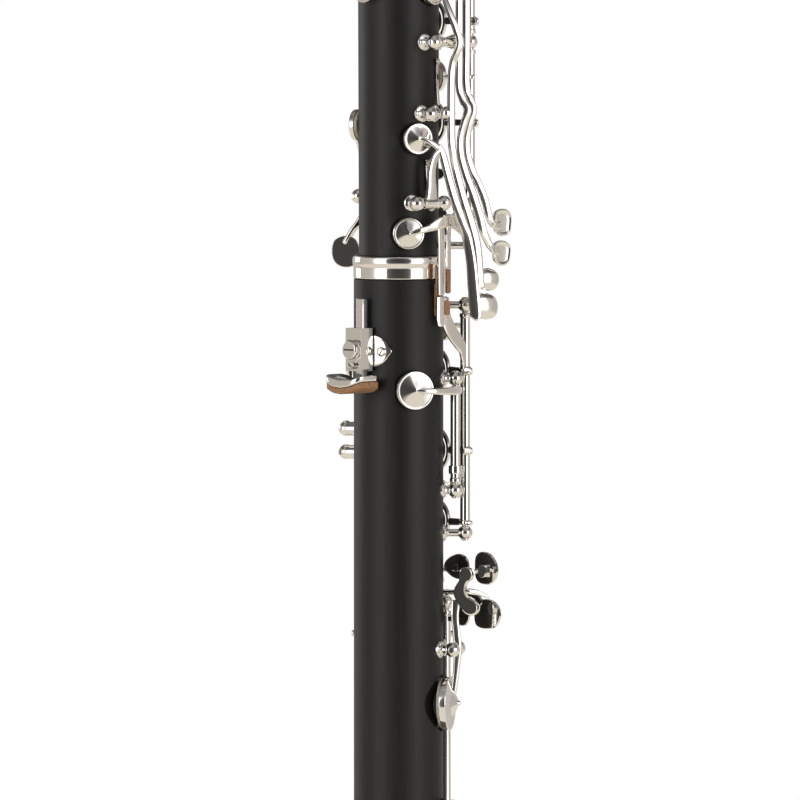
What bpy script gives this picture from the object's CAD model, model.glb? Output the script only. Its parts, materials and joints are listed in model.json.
import json
import math

import bpy
import numpy as np
from mathutils import Matrix, Vector


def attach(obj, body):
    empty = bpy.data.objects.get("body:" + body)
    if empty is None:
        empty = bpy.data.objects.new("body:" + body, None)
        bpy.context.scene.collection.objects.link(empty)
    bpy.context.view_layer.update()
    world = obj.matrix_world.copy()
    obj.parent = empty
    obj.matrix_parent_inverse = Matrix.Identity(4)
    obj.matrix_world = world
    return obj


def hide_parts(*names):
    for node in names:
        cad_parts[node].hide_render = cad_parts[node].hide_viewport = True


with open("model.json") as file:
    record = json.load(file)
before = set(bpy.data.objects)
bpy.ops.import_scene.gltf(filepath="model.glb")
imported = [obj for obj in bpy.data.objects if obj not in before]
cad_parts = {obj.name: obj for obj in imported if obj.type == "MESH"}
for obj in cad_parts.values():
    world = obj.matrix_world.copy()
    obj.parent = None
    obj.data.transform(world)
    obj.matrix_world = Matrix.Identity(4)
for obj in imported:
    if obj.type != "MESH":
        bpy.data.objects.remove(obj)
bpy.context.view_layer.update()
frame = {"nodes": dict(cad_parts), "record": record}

MM = 0.001

# ------------------------------------------------------------------ frame helpers


def P(a, r, z=0.0):
    """Angle a round the bore from the back towards the player's right, radius r, height z (mm)."""
    a = math.radians(a)
    return np.array([-r * math.sin(a), r * math.cos(a), z])


def C(s, d, z=0.0):
    """s towards the front right, d towards the back right (mm)."""
    return np.array([-0.70711 * (s + d), 0.70711 * (d - s), z])


def outdir(a):
    return P(a, 1.0)


# ------------------------------------------------------------------ materials


def new_mat(name):
    m = bpy.data.materials.new(name)
    m.use_nodes = True
    t = m.node_tree
    t.nodes.clear()
    out = t.nodes.new("ShaderNodeOutputMaterial")
    b = t.nodes.new("ShaderNodeBsdfPrincipled")
    t.links.new(b.outputs[0], out.inputs[0])
    return m, t, b


def noise(t, scale, detail=3.0, stretch=(1, 1, 1), rough=0.5):
    co = t.nodes.new("ShaderNodeTexCoord")
    mp = t.nodes.new("ShaderNodeMapping")
    mp.inputs["Scale"].default_value = stretch
    n = t.nodes.new("ShaderNodeTexNoise")
    n.inputs["Scale"].default_value = scale
    n.inputs["Detail"].default_value = detail
    n.inputs["Roughness"].default_value = rough
    t.links.new(co.outputs["Object"], mp.inputs["Vector"])
    t.links.new(mp.outputs[0], n.inputs["Vector"])
    return n


def ramp(t, src, stops):
    r = t.nodes.new("ShaderNodeValToRGB")
    e = r.color_ramp.elements
    e[0].position, e[0].color = stops[0][0], (*stops[0][1], 1)
    e[1].position, e[1].color = stops[-1][0], (*stops[-1][1], 1)
    for p, c in stops[1:-1]:
        x = e.new(p)
        x.color = (*c, 1)
    t.links.new(src, r.inputs[0])
    return r


def span(t, src, a, b):
    r = t.nodes.new("ShaderNodeMapRange")
    r.inputs["To Min"].default_value = a
    r.inputs["To Max"].default_value = b
    t.links.new(src, r.inputs["Value"])
    return r


def bump(t, b, src, strength, dist):
    u = t.nodes.new("ShaderNodeBump")
    u.inputs["Strength"].default_value = strength
    u.inputs["Distance"].default_value = dist
    t.links.new(src, u.inputs["Height"])
    t.links.new(u.outputs[0], b.inputs["Normal"])


def silver(name, base, lo, hi):
    m, t, b = new_mat(name)
    b.inputs["Metallic"].default_value = 1.0
    n = noise(t, 160.0, 3.0)
    c = ramp(t, n.outputs[0], [(0.3, tuple(x * 0.96 for x in base)), (0.75, base)])
    t.links.new(c.outputs[0], b.inputs["Base Color"])
    r = span(t, noise(t, 420.0, 2.0).outputs[0], lo, hi)
    t.links.new(r.outputs[0], b.inputs["Roughness"])
    bump(t, b, noise(t, 90.0, 2.0).outputs[0], 0.035, 0.0004)
    return m


SILVER = silver("silver_plate", (0.955, 0.93, 0.895), 0.05, 0.11)
STEEL = silver("hinge_steel", (0.72, 0.66, 0.6), 0.14, 0.24)
SCREW = silver("screw_slot", (0.1, 0.09, 0.085), 0.3, 0.45)


def blackwood():
    m, t, b = new_mat("blackwood")
    n = noise(t, 900.0, 6.0, (1, 1, 0.06), 0.62)
    big = noise(t, 60.0, 3.0, (1, 1, 0.15))
    c = ramp(t, n.outputs[0], [(0.32, (0.0064, 0.0053, 0.005)), (0.62, (0.0128, 0.0115, 0.0112)), (0.8, (0.0225, 0.0203, 0.0197))])
    t.links.new(c.outputs[0], b.inputs["Base Color"])
    r = span(t, big.outputs[0], 0.42, 0.52)
    t.links.new(r.outputs[0], b.inputs["Roughness"])
    b.inputs["Specular IOR Level"].default_value = 0.42
    bump(t, b, n.outputs[0], 0.12, 0.0001)
    return m


def rubber_hard():
    m, t, b = new_mat("hard_rubber")
    n = noise(t, 500.0, 4.0)
    c = ramp(t, n.outputs[0], [(0.3, (0.006, 0.006, 0.007)), (0.7, (0.012, 0.012, 0.013))])
    t.links.new(c.outputs[0], b.inputs["Base Color"])
    r = span(t, noise(t, 300.0).outputs[0], 0.14, 0.22)
    t.links.new(r.outputs[0], b.inputs["Roughness"])
    return m


def cork():
    m, t, b = new_mat("cork")
    n = noise(t, 1500.0, 5.0, (1, 1, 1), 0.7)
    c = ramp(t, n.outputs[0], [(0.3, (0.2, 0.085, 0.04)), (0.45, (0.5, 0.25, 0.125)), (0.6, (0.63, 0.35, 0.19)), (0.8, (0.73, 0.45, 0.27))])
    t.links.new(c.outputs[0], b.inputs["Base Color"])
    r = span(t, n.outputs[0], 0.75, 0.95)
    t.links.new(r.outputs[0], b.inputs["Roughness"])
    bump(t, b, n.outputs[0], 0.5, 0.0002)
    return m


def leather():
    m, t, b = new_mat("pad_leather")
    n = noise(t, 900.0, 5.0)
    c = ramp(t, n.outputs[0], [(0.3, (0.62, 0.56, 0.42)), (0.7, (0.82, 0.78, 0.64))])
    t.links.new(c.outputs[0], b.inputs["Base Color"])
    r = span(t, n.outputs[0], 0.55, 0.8)
    t.links.new(r.outputs[0], b.inputs["Roughness"])
    bump(t, b, n.outputs[0], 0.25, 0.0001)
    return m


def cane():
    m, t, b = new_mat("cane")
    n = noise(t, 1600.0, 4.0, (1, 1, 0.02))
    c = ramp(t, n.outputs[0], [(0.3, (0.5, 0.36, 0.15)), (0.55, (0.7, 0.55, 0.28)), (0.8, (0.8, 0.67, 0.4))])
    t.links.new(c.outputs[0], b.inputs["Base Color"])
    r = span(t, n.outputs[0], 0.45, 0.65)
    t.links.new(r.outputs[0], b.inputs["Roughness"])
    bump(t, b, n.outputs[0], 0.3, 0.0001)
    return m


WOOD, RUBBER, CORK, LEATHER, CANE = blackwood(), rubber_hard(), cork(), leather(), cane()

# ------------------------------------------------------------------ mesh building


class Build:
    """Collects closed shells, each with its own material, into one mesh in millimetres."""

    def __init__(self):
        self.v, self.f, self.m, self.n = [], [], [], 0
        self.mats = []

    def add(self, verts, faces, mat=None):
        mat = mat or SILVER
        if mat not in self.mats:
            self.mats.append(mat)
        k = self.mats.index(mat)
        self.v.append(np.asarray(verts, float))
        self.f += [tuple(i + self.n for i in f) for f in faces]
        self.m += [k] * len(faces)
        self.n += len(verts)
        return self

    def turn(self, a, r, g, first=0):
        """Turns the shells from the first-th on about a lengthwise hinge."""
        h = P(a, r)
        c, s = math.cos(math.radians(g)), math.sin(math.radians(g))
        for i in range(first, len(self.v)):
            x = self.v[i][:, 0] - h[0]
            y = self.v[i][:, 1] - h[1]
            self.v[i][:, 0] = h[0] + c * x - s * y
            self.v[i][:, 1] = h[1] + s * x + c * y

    def mark(self):
        return len(self.v)

    def make(self, name, body, nodes=(), angle=32, bevel=0.0):
        me = bpy.data.meshes.new(name)
        v = np.vstack(self.v) * MM
        me.from_pydata(v.tolist(), [], self.f)
        for m in self.mats:
            me.materials.append(m)
        me.polygons.foreach_set("material_index", self.m)
        me.polygons.foreach_set("use_smooth", [True] * len(self.f))
        me.set_sharp_from_angle(angle=math.radians(angle))
        me.update()
        ob = bpy.data.objects.new(name, me)
        bpy.context.scene.collection.objects.link(ob)
        if bevel:
            b = ob.modifiers.new("edge", "BEVEL")
            b.width = bevel * MM
            b.segments = 2
            b.limit_method = "ANGLE"
            b.angle_limit = math.radians(40)
            b.harden_normals = False
        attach(ob, body)
        if nodes:
            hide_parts(*nodes)
        return ob


def fillet(pts, rad, n=4):
    """Rounds the corners of an open profile."""
    pts = [np.array(p, float) for p in pts]
    out = [pts[0]]
    for a, b, c in zip(pts, pts[1:], pts[2:]):
        u, w = a - b, c - b
        lu, lw = np.linalg.norm(u), np.linalg.norm(w)
        r = min(rad, 0.45 * lu, 0.45 * lw)
        if r < 1e-4:
            out.append(b)
            continue
        p, q = b + u / lu * r, b + w / lw * r
        for i in range(n + 1):
            t = i / n
            out.append((1 - t) ** 2 * p + 2 * t * (1 - t) * b + t * t * q)
    out.append(pts[-1])
    return out


def lathe(prof, origin, axis, seg=40, rad=0.25, closed=False, start=None):
    """Revolves (radius, height) points about axis through origin. Open profiles start and end on the axis."""
    axis = np.array(axis, float)
    axis /= np.linalg.norm(axis)
    e1 = np.cross(axis, [0, 0, 1.0])
    if np.linalg.norm(e1) < 1e-3:
        e1 = np.array([1.0, 0, 0])
    e1 /= np.linalg.norm(e1)
    e2 = np.cross(axis, e1)
    if closed:
        q = [np.array(p, float) for p in prof]
        k = len(q)
        pr = []
        for i in range(k):
            a, b, c = q[i - 1], q[i], q[(i + 1) % k]
            u, w = a - b, c - b
            lu, lw = np.linalg.norm(u), np.linalg.norm(w)
            r = min(rad, 0.45 * lu, 0.45 * lw)
            p0, p1 = b + u / lu * r, b + w / lw * r
            for j in range(4):
                t = j / 3
                pr.append((1 - t) ** 2 * p0 + 2 * t * (1 - t) * b + t * t * p1)
    else:
        pr = fillet(prof, rad) if rad else [np.array(p, float) for p in prof]
    o = np.array(origin, float)
    verts, faces, rows = [], [], []
    for r, h in pr:
        if r < 1e-6 and not closed:
            rows.append([len(verts)])
            verts.append(o + axis * h)
            continue
        row = []
        for i in range(seg):
            t = 2 * math.pi * i / seg
            row.append(len(verts))
            verts.append(o + axis * h + (e1 * math.cos(t) + e2 * math.sin(t)) * r)
        rows.append(row)
    pairs = list(zip(rows, rows[1:]))
    if closed:
        pairs.append((rows[-1], rows[0]))
    for a, b in pairs:
        for i in range(seg):
            j = (i + 1) % seg
            if len(a) == 1 and len(b) == 1:
                continue
            if len(a) == 1:
                faces.append((a[0], b[j], b[i]))
            elif len(b) == 1:
                faces.append((a[i], a[j], b[0]))
            else:
                faces.append((a[i], a[j], b[j], b[i]))
    # make the shell face outwards
    v = np.array(verts)
    vol = 0.0
    for f in faces:
        p0 = v[f[0]] - o
        for i in range(1, len(f) - 1):
            vol += np.dot(p0, np.cross(v[f[i]] - o, v[f[i + 1]] - o))
    if vol < 0:
        faces = [f[::-1] for f in faces]
    return verts, faces


def smooth_path(pts, n=6):
    """Catmull-Rom through the rows of pts (any number of columns)."""
    p = np.array(pts, float)
    if len(p) < 3:
        t = np.linspace(0, 1, 4)[:, None]
        return p[0] * (1 - t) + p[1] * t
    q = np.vstack([2 * p[0] - p[1], p, 2 * p[-1] - p[-2]])
    out = []
    for i in range(1, len(q) - 2):
        a, b, c, d = q[i - 1], q[i], q[i + 1], q[i + 2]
        for k in range(n):
            t = k / n
            out.append(0.5 * (2 * b + (c - a) * t + (2 * a - 5 * b + 4 * c - d) * t * t + (3 * b - a - 3 * c + d) * t**3))
    out.append(p[-1])
    return np.array(out)


def sweep(pts, n=6, power=3.0, seg=16, cap=0.35):
    """pts rows: x, y, z, width, thickness, face direction angle (the strip's face looks along that angle)."""
    q = smooth_path(pts, n)
    k = len(q)
    verts, faces = [], []
    ring = []
    for i in range(seg):
        t = 2 * math.pi * (i + 0.5) / seg
        c, s = math.cos(t), math.sin(t)
        ring.append((math.copysign(abs(c) ** (2 / power), c), math.copysign(abs(s) ** (2 / power), s)))
    rows = []
    tans = []
    for i in range(k):
        d = q[min(i + 1, k - 1), :3] - q[max(i - 1, 0), :3]
        tans.append(d / (np.linalg.norm(d) + 1e-9))
    stations = [(0, -cap, 0.25), (0, -cap * 0.6, 0.7)] + [(i, 0.0, 1.0) for i in range(k)] + [(k - 1, cap * 0.6, 0.7), (k - 1, cap, 0.25)]
    for i, ext, sc in stations:
        x = q[i]
        t = tans[i]
        face = outdir(x[5])
        nn = face - t * np.dot(face, t)
        nn /= np.linalg.norm(nn) + 1e-9
        side = np.cross(t, nn)
        c = x[:3] + t * ext * min(x[3], x[4])
        row = []
        for a, b in ring:
            row.append(len(verts))
            verts.append(c + side * a * x[3] / 2 * sc + nn * b * x[4] / 2 * sc)
        rows.append(row)
    for a, b in zip(rows, rows[1:]):
        for i in range(seg):
            j = (i + 1) % seg
            faces.append((a[i], a[j], b[j], b[i]))
    faces.append(tuple(rows[0][::-1]))
    faces.append(tuple(rows[-1]))
    return verts, faces


def arm(b, pts, w=2.0, t=1.1, face=None, mat=None, n=6, power=3.0, ends=None):
    """A strip through 3-D points. w and t may be lists; face is an angle or a list."""
    k = len(pts)
    ws = w if isinstance(w, (list, tuple)) else [w] * k
    ts = t if isinstance(t, (list, tuple)) else [t] * k
    rows = []
    for i, p in enumerate(pts):
        f = face[i] if isinstance(face, (list, tuple)) else face
        if f is None:
            f = math.degrees(math.atan2(-p[0], p[1]))
        rows.append([*p, ws[i], ts[i], f])
    # angles near the wrap are made continuous
    for i in range(1, k):
        while rows[i][5] - rows[i - 1][5] > 180:
            rows[i][5] -= 360
        while rows[i][5] - rows[i - 1][5] < -180:
            rows[i][5] += 360
    b.add(*sweep(rows, n, power), mat)


def outline_plate(b, center, a, loop, t, dome=0.0, mat=None, edge=0.3, tilt=0.0, dish=0.0, rim=False):
    """A plate with a rounded edge from a closed 2-D loop (x sideways towards lower angles, y up), face along angle a."""
    o = np.array(center, float)
    n = outdir(a)
    x = np.array([math.cos(math.radians(a)), math.sin(math.radians(a)), 0])
    z = np.array([0, 0, 1.0])
    if tilt:
        c, s = math.cos(math.radians(tilt)), math.sin(math.radians(tilt))
        n, z = n * c + z * s, z * c - n * s
    loop = np.array(loop, float)
    cen = loop.mean(0)
    h = t / 2
    layers = [(0.0, -h), (0.5, -h), (0.9, -h), (0.95, -h), (1.0, -h + edge), (1.0, h - edge), (1 - edge / 4, h), (0.8, h + dome * 0.36), (0.5, h + dome * 0.75 - dish), (0.0, h + dome - dish)]
    if rim:
        layers = [(0.0, -h - 0.4), (0.45, -h - 0.35), (0.8, -h), (0.95, -h + 0.3), (1.0, 0.0), (0.985, h - 0.25), (0.93, h), (0.86, h), (0.78, h - 0.22), (0.7, h - 0.36), (0.5, h - 0.44), (0.0, h - 0.48)]
    verts, faces, rows = [], [], []
    for sc, hh in layers:
        if sc == 0.0:
            rows.append([len(verts)])
            verts.append(o + x * cen[0] + z * cen[1] + n * hh)
            continue
        row = []
        for p in loop:
            q = cen + (p - cen) * sc
            row.append(len(verts))
            verts.append(o + x * q[0] + z * q[1] + n * hh)
        rows.append(row)
    k = len(loop)
    for r0, r1 in zip(rows, rows[1:]):
        for i in range(k):
            j = (i + 1) % k
            if len(r0) == 1:
                faces.append((r0[0], r1[i], r1[j]))
            elif len(r1) == 1:
                faces.append((r0[j], r0[i], r1[0]))
            else:
                faces.append((r0[j], r0[i], r1[i], r1[j]))
    v = np.array(verts)
    vol = sum(np.dot(v[f[0]] - o, np.cross(v[f[i]] - o, v[f[i + 1]] - o)) for f in faces for i in range(1, len(f) - 1))
    if vol < 0:
        faces = [f[::-1] for f in faces]
    b.add(verts, faces, mat)


def egg(w, h, k=28, taper=0.0, shift=(0, 0), turn=0.0):
    """An oval loop; taper narrows its left end."""
    out = []
    for i in range(k):
        t = 2 * math.pi * i / k
        x, y = math.cos(t), math.sin(t)
        y *= 1 - taper * (1 - x) / 2
        x, y = x * w / 2, y * h / 2
        c, s = math.cos(math.radians(turn)), math.sin(math.radians(turn))
        out.append((x * c - y * s + shift[0], x * s + y * c + shift[1]))
    return out


def spline_loop(pts, n=5):
    p = np.array(pts, float)
    k = len(p)
    out = []
    for i in range(k):
        a, b, c, d = p[i - 1], p[i], p[(i + 1) % k], p[(i + 2) % k]
        for j in range(n):
            t = j / n
            out.append(0.5 * (2 * b + (c - a) * t + (2 * a - 5 * b + 4 * c - d) * t * t + (3 * b - a - 3 * c + d) * t**3))
    return out


def prism(b, loop, z0, z1, mat=None):
    """A block from a convex loop in x, y between two heights."""
    k = len(loop)
    v = [(x, y, z0) for x, y in loop] + [(x, y, z1) for x, y in loop]
    f = [tuple(range(k - 1, -1, -1)), tuple(range(k, 2 * k))] + [(i, (i + 1) % k, (i + 1) % k + k, i + k) for i in range(k)]
    vv = np.array(v, float)
    o = vv.mean(0)
    vol = sum(np.dot(vv[g[0]] - o, np.cross(vv[g[i]] - o, vv[g[i + 1]] - o)) for g in f for i in range(1, len(g) - 1))
    if vol < 0:
        f = [g[::-1] for g in f]
    b.add(vv, f, mat)


def box(b, lo, hi, mat=None):
    prism(b, [(lo[0], lo[1]), (hi[0], lo[1]), (hi[0], hi[1]), (lo[0], hi[1])], lo[2], hi[2], mat)


# ------------------------------------------------------------------ instrument pieces


def cup(b, a, rs, z, pr, rib=None):
    r = pr + 0.35
    prof = [(0, 2.25), (pr, 2.25), (pr, 1.25), (r, 1.25), (r, 2.35), (r - 0.12, 2.75), (r - 0.55, 2.8), (r - 0.75, 2.62), (pr * 0.45, 3.35), (0.75, 3.85), (0, 4.0)]
    b.add(*lathe(prof, P(a, rs, z), outdir(a), seg=48, rad=0.12))


def tube(b, a, r, z0, z1, rad=1.55, collars=()):
    prof = [(0, 0), (rad, 0), (rad + 0.22, 0.15), (rad + 0.22, 1.2), (rad, 1.45), (rad, z1 - z0 - 1.45), (rad + 0.22, z1 - z0 - 1.2), (rad + 0.22, z1 - z0 - 0.15), (rad, z1 - z0), (0, z1 - z0)]
    b.add(*lathe(prof, P(a, r, z0), (0, 0, 1), seg=28, rad=0.12))


def cross_tube(b, c, w=None, off=0.0, rad=1.55):
    a, ha, rb, z = c
    w = w or 2 * (rb * math.sin(math.radians(ha)) - 2.35 - 0.12)
    r = rb * math.cos(math.radians(ha))
    x = np.array([math.cos(math.radians(a)), math.sin(math.radians(a)), 0])
    o = P(a, r, z) + x * (off - w / 2)
    prof = [(0, 0), (rad + 0.25, 0), (rad + 0.25, 0.55), (rad, 0.75), (rad, w - 0.75), (rad + 0.25, w - 0.55), (rad + 0.25, w), (0, w)]
    b.add(*lathe(prof, o, x, seg=28, rad=0.12))


def ringpiece(b, a, rt, z, ri, ro, t):
    b.add(*lathe([(ri, 0), (ro, 0), (ro, t), (ri, t)], P(a, rt - t, z), outdir(a), seg=56, rad=0.35, closed=True))


def post(b, a, r, z, rb, slot_dir=None):
    prof = [(0, -2), (1.3, -2), (1.3, rb * 0 - 0.6), (2.65, -0.6), (2.65, 0.45), (2.35, 0.75), (1.5, 0.95), (1.15, 1.5)]
    top = r - rb
    k = 14
    ball = []
    for i in range(k + 1):
        t = math.radians(150 - i * 150 / k)
        ball.append((2.35 * math.sin(t) if i < k else 0, top + 2.35 * math.cos(t)))
    ball = [p for p in ball if p[1] > 1.5]
    b.add(*lathe(prof + ball, P(a, rb, z), outdir(a), seg=32, rad=0.12))
    if slot_dir is not None:
        # the slotted end of the hinge screw in the ball
        d = np.array(slot_dir, float)
        d /= np.linalg.norm(d)
        c = P(a, r, z)
        b.add(*lathe([(0, 0), (1.15, 0), (1.15, 0.25), (0.9, 0.4), (0, 0.4)], c + d * 2.0, d, seg=24, rad=0.08))
        u = np.cross(d, [0, 0, 1.0])
        u = u / np.linalg.norm(u) if np.linalg.norm(u) > 0.1 else np.array([1.0, 0, 0])
        w = np.cross(d, u)
        o = c + d * 2.42
        q = []
        for s1, s2, s3 in ((-1, -1, -1), (1, -1, -1), (1, 1, -1), (-1, 1, -1), (-1, -1, 1), (1, -1, 1), (1, 1, 1), (-1, 1, 1)):
            q.append(o + u * 0.17 * s1 + w * 0.85 * s2 + d * 0.04 * s3)
        b.add(q, [(0, 3, 2, 1), (4, 5, 6, 7), (0, 1, 5, 4), (1, 2, 6, 5), (2, 3, 7, 6), (3, 0, 4, 7)], SCREW)


HR, LR, SL = (135, 22.3), (137, 20.8), (125, 18)
KA, KB, KC = (171, 18.3), (184, 18.3), (197, 18.3)
TR, GS, SU = (302, 17.5), (212, 18), (212, 17.5)
P1, P2, P3, P4 = (103, 19, 17.7, 404.6), (92, 13, 17.7, 382.4), (81, 17, 17.7, 354.6), (114, 15, 17.7, 432)
RG, TA, CS = (6, 14, 17.7, 468), (176, 14, 17.7, 470), (256, 14, 17.7, 356)
AE, LL = (123, 13, 18.6, 215), (263.5, 23.5, 18.6, 276)
UP_LONG = [(HR, (341, 404.6, 440.6)), (TR, (420.3, 446.7)), (GS, (446, 481)), (SU, (356.6, 374))]
LO_LONG = [(LR, (322.4, 251.1)), (SL, (299.6, 264.6)), (KA, (153, 228.5)), (KB, (133, 235.5)), (KC, (113, 242.5))]


def posts(name, longs, crosses, rb, node):
    b = Build()
    for h, zs in longs:
        for z in zs:
            post(b, h[0], h[1], z, rb, (0, 0, 1 if z == max(zs) else -1))
    if rb > 13:
        post(b, 287, 18.6, 283.3, rb, (0, 0, 1))
        for z in (276, 283.3):
            b.add(*lathe([(0, 0), (2.2, 0), (2.2, 4.2), (0, 4.2)], P(287, 14.4, z), outdir(287), seg=28, rad=0.1))
    for c in crosses:
        x = np.array([math.cos(math.radians(c[0])), math.sin(math.radians(c[0])), 0])
        post(b, c[0] + c[1], c[2], c[3], rb, -x)
        post(b, c[0] - c[1], c[2], c[3], rb, x)
    b.make(name, "clarinet", (node,))


posts("posts_upper", UP_LONG, [P1, P2, P3, P4, RG, TA, CS], 12.55, "upper_posts")
posts("posts_lower", LO_LONG, [AE, LL], 14.0, "lower_posts")

# ---- joint rings: the middle one has an upper bead and a lower band
b = Build()


def band_ring(r, z0, z1, t, bead=0.0):
    prof = [(r - t, 0), (r - 0.1, 0), (r, 0.35), (r, z1 - z0 - 0.35), (r - 0.2, z1 - z0), (r - t, z1 - z0)]
    b.add(*lathe(prof, (0, 0, z0), (0, 0, 1), seg=96, rad=0.2, closed=True))


b.add(*lathe([(13.45, 0), (14.05, 0), (14.12, 0.3), (14.12, 3.2), (14.2, 3.75), (14.45, 4.5), (14.55, 5.2), (14.55, 6.2), (14.3, 7.0), (13.45, 7.05)], (0, 0, 330.9), (0, 0, 1), seg=120, rad=0.35, closed=True))
band_ring(16.4, 531.3, 537.8, 1.05)
band_ring(16.4, 590.2, 596.9, 1.05)
band_ring(16.5, 98.2, 106, 1.05)
band_ring(39.75, 0.6, 5.4, 1.4)
b.make("joint_ring_set", "clarinet", ("joint_rings",))

# ---- leaf springs
b = Build()
for a, z0, z1 in ((114, 385, 399.5), (90, 359, 368)):
    arm(b, [P(a, 13.5, z0), P(a, 12.95, (z0 + z1) / 2), P(a, 12.85, z1)], [1.5, 1.7, 1.9], 0.35, mat=STEEL)
    b.add(*lathe([(0, 0), (1.1, 0), (1.1, 0.5), (0.8, 0.75), (0, 0.75)], P(a, 12.9, z1 - 1.0), outdir(a), seg=20, rad=0.1), STEEL)
b.make("flat_springs", "clarinet", ("leaf_springs",))

# ---- hinge steels, with a turned end
b = Build()
for h, zs in UP_LONG + LO_LONG:
    b.add(*lathe([(0, 0), (1, 0), (1, max(zs) - min(zs) + 3.4), (0, max(zs) - min(zs) + 3.4)], P(h[0], h[1], min(zs) - 1.7), (0, 0, 1), seg=20, rad=0.15), STEEL)
for c in (P1, P2, P3, P4, RG, TA, CS, AE, LL):
    x = np.array([math.cos(math.radians(c[0])), math.sin(math.radians(c[0])), 0])
    L = 2 * c[2] * math.sin(math.radians(c[1])) + 3
    b.add(*lathe([(0, 0), (1, 0), (1, L), (0, L)], P(c[0], c[2] * math.cos(math.radians(c[1])), c[3]) - x * L / 2, x, seg=20, rad=0.15), STEEL)
b.make("steel_rods", "clarinet", ("hinge_steels",))

# ---- side levers
def lever(b, pts, w=2.2, t=1.15, faces=None):
    arm(b, pts, w, t, faces, n=7, power=3.4)


def touch(b, a, c, w, h, t=1.5, dome=0.5, taper=0.15, turn=0.0, tilt=0.0):
    outline_plate(b, c, a, egg(w, h, 32, taper, turn=turn), t, dome, edge=0.45, tilt=tilt, dish=0.15)


b = Build()
cross_tube(b, P3)
arm(b, [P(81, 17.2, 354.6), P(80.5, 17.7, 359), P(80, 17.8, 364), P(83, 18.2, 368.5), C(13.3, 13, 371)], [5.0, 3.6, 2.9, 2.6, 2.4], 1.1)
lever(b, [C(12.4, 13.4, 372.3), C(13.6, 13, 370), C(15.6, 12.7, 362.3), C(17.4, 12.3, 355.8), C(19.6, 11.6, 349), C(21.4, 10.9, 343.3), C(22.6, 10.6, 336), C(23.2, 10.3, 328.5), C(23.9, 10, 320.6), C(24.1, 10, 319), C(24.2, 10, 318.3)],
      [1.9, 2.4, 2.6, 2.8, 2.9, 3.0, 3.2, 3.5, 3.5, 2.9, 1.6], 1.35, [72, 70, 66, 64, 60, 56, 53, 52, 52, 52, 52])
arm(b, [P(70, 16.1, 374.6), P(74, 16.6, 374.3), C(10.5, 13.9, 373.2), C(13.2, 13.1, 371.2)], [0.6, 1.3, 1.9, 2.4], [0.8, 1.0, 1.2, 1.2])
cup(b, 70, 12.2, 374.6, 4.5)
outline_plate(b, C(27.3, 6.4, 322.4), 75, spline_loop([(4.2, 3.2), (4.9, 0.5), (3.9, -3.0), (0.5, -4.2), (-3.0, -3.4), (-4.1, -0.6), (-3.3, 2.3), (-0.6, 3.9), (2.2, 4.2)][::-1]), 1.2, 0.95, edge=0.4, dish=0.0)
b.make("side_lever_1", "side_key_1", ("side_key_1",))

b = Build()
cross_tube(b, P2)
arm(b, [P(92, 17.4, 382.4), C(14.6, 13.6, 382.4), C(16.5, 12.7, 382.6)], [2.9, 2.6, 2.2], 1.1)
lever(b, [C(12.9, 10.7, 421), C(14.4, 12.0, 417.7), C(16.2, 12.9, 413), C(18.0, 13.3, 408.3), C(19.0, 13.4, 404.6), C(18.1, 13.3, 401.2), C(16.9, 13.1, 398), C(16.4, 12.9, 392), C(16.4, 12.7, 376), C(17.0, 12.1, 370), C(18.0, 11.2, 364.5),
          C(20.3, 10.6, 355.8), C(22.6, 10, 348.6), C(24.4, 9.3, 341.5), C(25.2, 8.5, 333), C(25.6, 8.2, 328.5)], [1.5, 1.8, 2.1, 2.3, 2.4, 2.4, 2.4, 2.5, 2.5, 2.5, 2.5, 2.6, 2.7, 2.7, 2.7, 2.7], 1.2,
      [80, 74, 68, 66, 66, 68, 70, 68, 68, 68, 68, 68, 68, 68, 68, 70])
cup(b, 95, 12.3, 421, 4.5)
outline_plate(b, C(28.0, 5.6, 330.6), 75, spline_loop([(3.6, 2.4), (3.9, 0.3), (3.0, -2.5), (0.3, -3.5), (-2.4, -2.9), (-3.7, -0.6), (-3.2, 1.9), (-0.6, 3.4), (1.8, 3.4)][::-1]), 1.2, 0.95, edge=0.4, dish=0.0)
b.make("side_lever_2", "side_key_2", ("side_key_2",))

b = Build()
cross_tube(b, P1)
arm(b, [P(103, 17, 404.6), P(104, 19, 404.8), C(18.9, 9.6, 405)], [3.6, 2.8, 2.2], 1.1)
lever(b, [P(100, 16.1, 447), C(17.0, 9.4, 443), C(18.9, 9.6, 437), C(18.9, 9.6, 420), C(18.9, 9.6, 400), C(18.9, 9.6, 391), C(20.0, 9.9, 386.7), C(21.4, 10.0, 383.5), C(20.5, 9.9, 379.8), C(19.4, 9.7, 375), C(19.5, 9.5, 369.5), C(21.0, 9.2, 363.5),
          C(23.2, 8.8, 357.2), C(25.0, 8.4, 351), C(26.4, 8, 345.6), C(28.5, 6.6, 341)], [1.4, 1.9] + [2.4] * 10 + [2.5, 2.6, 2.5, 2.3], 1.2,
      [90, 76, 68, 68, 68, 68, 64, 60, 66, 72, 70, 66, 64, 62, 62, 66])
cup(b, 100, 12.3, 447, 4.5)
outline_plate(b, C(32.1, 3.6, 338.8), 82, spline_loop([(3.1, 2.9), (3.6, 0.2), (2.8, -2.8), (0.2, -4.0), (-2.3, -3.0), (-3.1, -0.4), (-3.0, 2.2), (-1.4, 3.6), (1.2, 3.9)]), 1.7, edge=0.4, rim=True)
arm(b, [C(28.2, 6.8, 341.4), C(30, 5.2, 339.6), C(31.2, 4.2, 339)], [2.2, 2.6, 2.4], 1.2, 80)
b.make("side_lever_3", "side_key_3", ("side_key_3",))

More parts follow.
